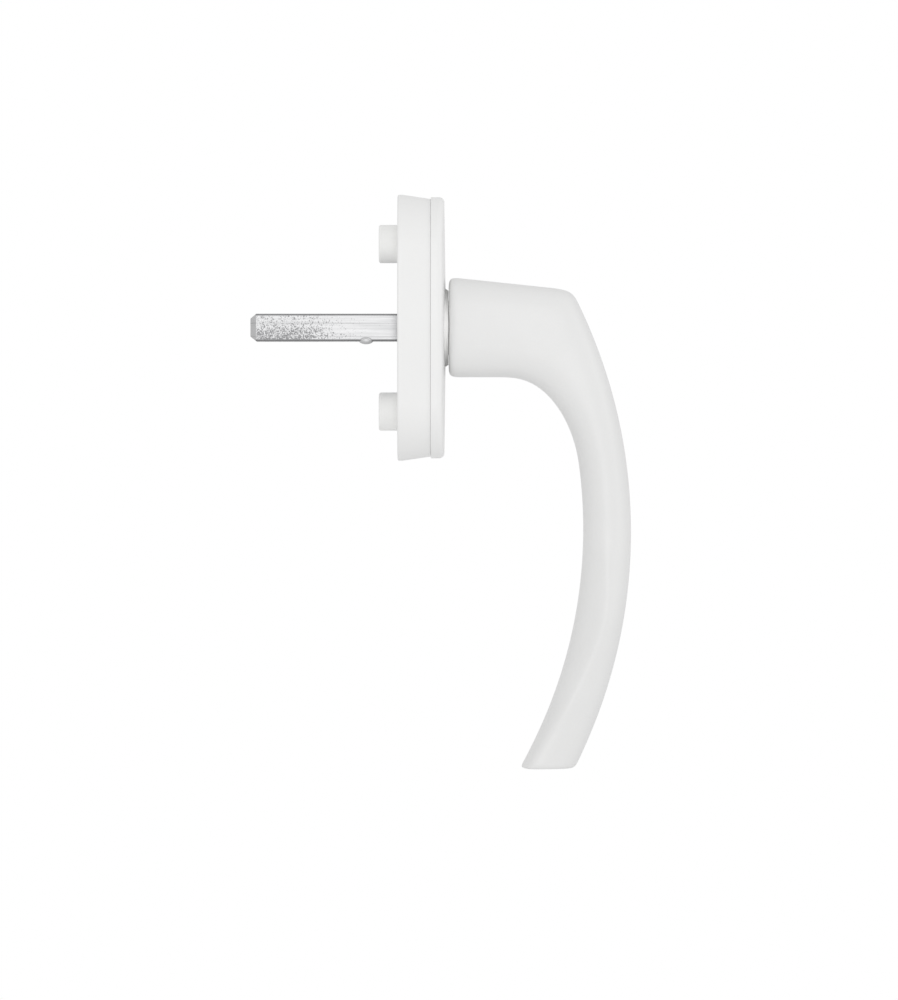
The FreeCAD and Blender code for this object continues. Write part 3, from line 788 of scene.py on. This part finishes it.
def lever_stations():
    """Inner and outer points of each cross-section, from the neck's back face to the grip's end."""
    stations = []
    for depth in (NECK_BACK, NECK_BACK + NECK_STEP, NECK_BACK + 2 * NECK_STEP, NECK_LAST):
        stations.append((Vector((depth, NECK_BOTTOM)), Vector((depth, top_line(depth)))))
    for degrees in ELBOW_ANGLES:
        angle = math.radians(degrees)
        stations.append((inner_point(angle), outer_point(angle)))
    fall = GRIP_END + 2 * END_STEP - THROAT_END_HEIGHT
    heights = [THROAT_END_HEIGHT + fall * n / GRIP_SECTIONS for n in range(GRIP_SECTIONS + 1)]
    for height in heights + [GRIP_END + END_STEP, GRIP_END]:
        inner = Vector((arc_depth(inner_centre(), INNER_RADIUS, height), height))
        outer = Vector((arc_depth(outer_centre(), OUTER_RADIUS, height), height))
        stations.append((inner, outer))
    return stations


def add_section(inner, outer, half_width, fullness):
    """A ring of eight corners that smooths to a superellipse between two points."""
    centre = (inner + outer) / 2
    across = outer - inner
    diagonal = 0.5 ** (1 / fullness)
    corner = (6 * diagonal - 1.5) / 3.5
    axis = (3 - corner) / 2
    middle_place = place(centre.x, centre.y)
    tilt = math.atan2(across.y, -across.x)
    bpy.ops.mesh.select_all(action="DESELECT")
    half_thickness = across.length / 2
    bpy.ops.mesh.primitive_circle_add(
        vertices=8, radius=half_thickness * axis, location=middle_place, rotation=(tilt, 0, 0),
    )
    stretch = half_width / half_thickness
    bpy.ops.transform.resize(value=(stretch, 1, 1), center_override=middle_place)
    first = len(bmesh.from_edit_mesh(bpy.context.object.data).verts) - 8
    pick("VERT", lambda v: v.index >= first and v.index % 2 == 1)
    pull = corner / (math.sqrt(0.5) * axis)
    bpy.ops.transform.resize(value=(pull, pull, pull), center_override=middle_place)
    shift = across / 2 * flank_shift(centre.y)
    pick("VERT", lambda v: v.index >= first and v.index % 8 in (2, 6))
    bpy.ops.transform.translate(value=place(shift.x, shift.y))


def make_lever():
    """Neck and grip as one smooth skin over a cage of cross-sections."""
    bpy.ops.object.select_all(action="DESELECT")
    bpy.ops.object.add(type="MESH")
    piece = name_piece("lever_coat_painted_shade")
    edit()
    travelled = 0.0
    last = None
    stations = lever_stations()
    for inner, outer in stations:
        centre = (inner + outer) / 2
        travelled += (centre - last).length / MM if last else 0.0
        last = centre
        half_width = blend(travelled, WIDTHS) * MM / 2
        add_section(inner, outer, half_width, blend(travelled, FULLNESS))
    for ring in range(len(stations) - 1):
        pick("EDGE", lambda e: in_ring(e, ring) or in_ring(e, ring + 1))
        bpy.ops.mesh.bridge_edge_loops()
    for ring in (0, len(stations) - 1):
        pick("EDGE", lambda e: in_ring(e, ring))
        bpy.ops.mesh.edge_face_add()
    bpy.ops.mesh.select_all(action="SELECT")
    bpy.ops.mesh.normals_make_consistent(inside=False)
    pick("FACE", lambda f: len(f.verts) == 8 and f.verts[0].co.z > THROAT_END_HEIGHT)
    bpy.ops.mesh.inset(thickness=NECK_STEP, depth=0)
    pick("FACE", lambda f: len(f.verts) == 8 and f.verts[0].co.z < THROAT_END_HEIGHT and is_end(f))
    bpy.ops.mesh.inset(thickness=END_STEP, depth=0)
    pick("EDGE", lambda e: along_flank(e) and RIDGE_END < e.verts[0].co.z < RIDGE_START)
    bpy.ops.transform.edge_crease(value=RIDGE_CREASE)
    leave()
    modifier = piece.modifiers.new("skin", "SUBSURF")
    modifier.levels = SKIN_LEVELS
    modifier.render_levels = SKIN_LEVELS
    activate(piece)
    bpy.ops.object.modifier_apply(modifier=modifier.name)
    bpy.ops.object.shade_smooth()
    finish_piece(piece, "handle", ["lever"], LEVER_COAT_PAINTED_SHADE)


def is_end(face):
    """Whether a face lies in the plane of the grip's end."""
    return all(abs(v.co.z - GRIP_END) < 0.01 * MM for v in face.verts)


def in_ring(edge, ring):
    """Whether an edge goes round one cross-section."""
    return all(v.index // 8 == ring for v in edge.verts)


def along_flank(edge):
    """Whether an edge runs along one of the lever's two flanks, from section to section."""
    return all(v.index % 8 in (2, 6) for v in edge.verts)


def flank_shift(height):
    """How far the flank's ridge lies towards the grip's outer side, as a share of half the
    thickness. It starts near the outer side and crosses to the inner side towards the end."""
    if height > RIDGE_START:
        return 0.0
    t = min(1.0, (RIDGE_START - height) / (RIDGE_START - RIDGE_END))
    rise = min(1.0, 2.5 * t)
    return rise * rise * (3 - 2 * rise) * (0.75 - 1.4 * t)


def make_pin_hole():
    """The space of the cross pin that holds the spindle in the lever."""
    hole = round_bar("pin_hole", PIN, -10 * MM, 10 * MM, sides=32)
    hole.rotation_euler = (0, 0, math.pi / 2)
    hole.location = place(PIN_DEPTH, 0)
    return hole


def make_clip_groove():
    """The space round the tail that the retaining ring snaps into."""
    groove = round_bar("groove", TAIL + 1 * MM, CLIP_DEPTH, CLIP_DEPTH + CLIP_THICKNESS)
    combine(groove, round_bar("core", CLIP_GROOVE, 0, 3 * MM), "DIFFERENCE")
    return groove


def make_lever_tail():
    """The casting's turned spigot and flatted tail, with the square socket for the spindle."""
    tail_end = -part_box("lever")[1].y
    piece = round_bar("lever_tail", SPIGOT, SPIGOT_BACK, NECK_BACK + 2 * MM)
    tail = round_bar("tail", TAIL, tail_end, SPIGOT_BACK + 1 * MM)
    flats = box_bar("flats", TAIL_FLATS, 3 * TAIL, tail_end - 1 * MM, SPIGOT_BACK + 2 * MM)
    combine(tail, flats, "INTERSECT")
    combine(tail, make_clip_groove(), "DIFFERENCE")
    combine(piece, tail, "UNION")
    socket = box_bar("socket", SQUARE, SQUARE, tail_end - 1 * MM, NECK_BACK + 3 * MM)
    combine(piece, socket, "DIFFERENCE")
    combine(piece, make_pin_hole(), "DIFFERENCE")
    smooth(piece)
    finish_piece(piece, "handle", ["lever"], ZINC_STEEL)


# ---------------------------------------------------------------------------------------------
# The rest of the CAD nodes, and the studio
# ---------------------------------------------------------------------------------------------

CAD_FINISHES = {
    "support_insert": WHITE_NYLON,
    "thrust_washer": NATURAL_ACETAL,
    "spindle_pin": ZINC_STEEL,
    "back_plate": ZINC_STEEL,
    "plate_screws": ZINC_STEEL,
    "detent_wheel": HARD_STEEL,
    "dished_washer": HARD_STEEL,
    "retaining_ring": HARD_STEEL,
    "upper_spring": HARD_STEEL,
    "lower_spring": HARD_STEEL,
    "upper_ball": BRIGHT_STEEL,
    "lower_ball": BRIGHT_STEEL,
}


def dress_cad_nodes():
    for node, material in CAD_FINISHES.items():
        for material_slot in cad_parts[node].material_slots:
            material_slot.material = material


def make_floor():
    bpy.ops.object.select_all(action="DESELECT")
    bpy.ops.mesh.primitive_circle_add(
        vertices=ROUND, radius=FLOOR_RADIUS, fill_type="NGON", location=(0, 0, FLOOR_HEIGHT),
    )
    floor = name_piece("floor")
    material, nodes, links, shader, coordinates = start_material("floor_paper")
    tone = add_group(nodes, links, MOTTLE, coordinates, {
        "Light tone": (0.93, 0.93, 0.93, 1),
        "Dark tone": (0.90, 0.90, 0.90, 1),
        "Least roughness": 0.8,
        "Most roughness": 0.9,
    })
    links.new(tone.outputs["Color"], shader.inputs["Base Color"])
    links.new(tone.outputs["Roughness"], shader.inputs["Roughness"])
    floor.data.materials.append(material)


def make_camera():
    """Looks straight along +X, level, so that the room side is on the right."""
    data = bpy.data.cameras.new("camera")
    data.sensor_width = SENSOR
    data.lens = SENSOR * CAMERA_DISTANCE / VIEW_HEIGHT
    camera = bpy.data.objects.new("camera", data)
    camera.location = place(VIEW_DEPTH, VIEW_CENTRE_HEIGHT, -CAMERA_DISTANCE)
    camera.rotation_euler = (math.pi / 2, 0, -math.pi / 2)
    bpy.context.scene.collection.objects.link(camera)
    bpy.context.scene.camera = camera


def add_light(name, location, target, width, height, power):
    """A rectangular soft light aimed at a point."""
    data = bpy.data.lights.new(name, "AREA")
    data.shape = "RECTANGLE"
    data.size = width
    data.size_y = height
    data.energy = power
    light = bpy.data.objects.new(name, data)
    light.location = location
    aim = Vector(target) - Vector(location)
    light.rotation_euler = aim.to_track_quat("-Z", "Y").to_euler()
    light.visible_camera = False
    bpy.context.scene.collection.objects.link(light)


def make_world():
    """White behind the handle, a softer grey for what lights it."""
    world = bpy.data.worlds.new("studio")
    bpy.context.scene.world = world
    world.use_nodes = True
    nodes = world.node_tree.nodes
    links = world.node_tree.links
    background = nodes["Background"]
    background.inputs["Color"].default_value = (1, 1, 1, 1)
    seen = nodes.new("ShaderNodeLightPath").outputs["Is Camera Ray"]
    links.new(spread(nodes, links, seen, 0.0, 1.0, WORLD_FILL, 1.0), background.inputs["Strength"])


def make_lights():
    add_light("front_key", (-1.3, -0.03, 0.08), LIGHT_TARGET, 0.4, 1.1, 2.9)
    add_light("room_side", (-0.5, -1.2, 0.2), LIGHT_TARGET, 0.8, 0.8, 1.2)


make_rosette_base()
make_cover()
make_bearing_bush()
make_spindle()
make_lever()
make_lever_tail()
dress_cad_nodes()
make_floor()
make_camera()
make_world()
make_lights()
bpy.context.scene.view_settings.view_transform = "Standard"
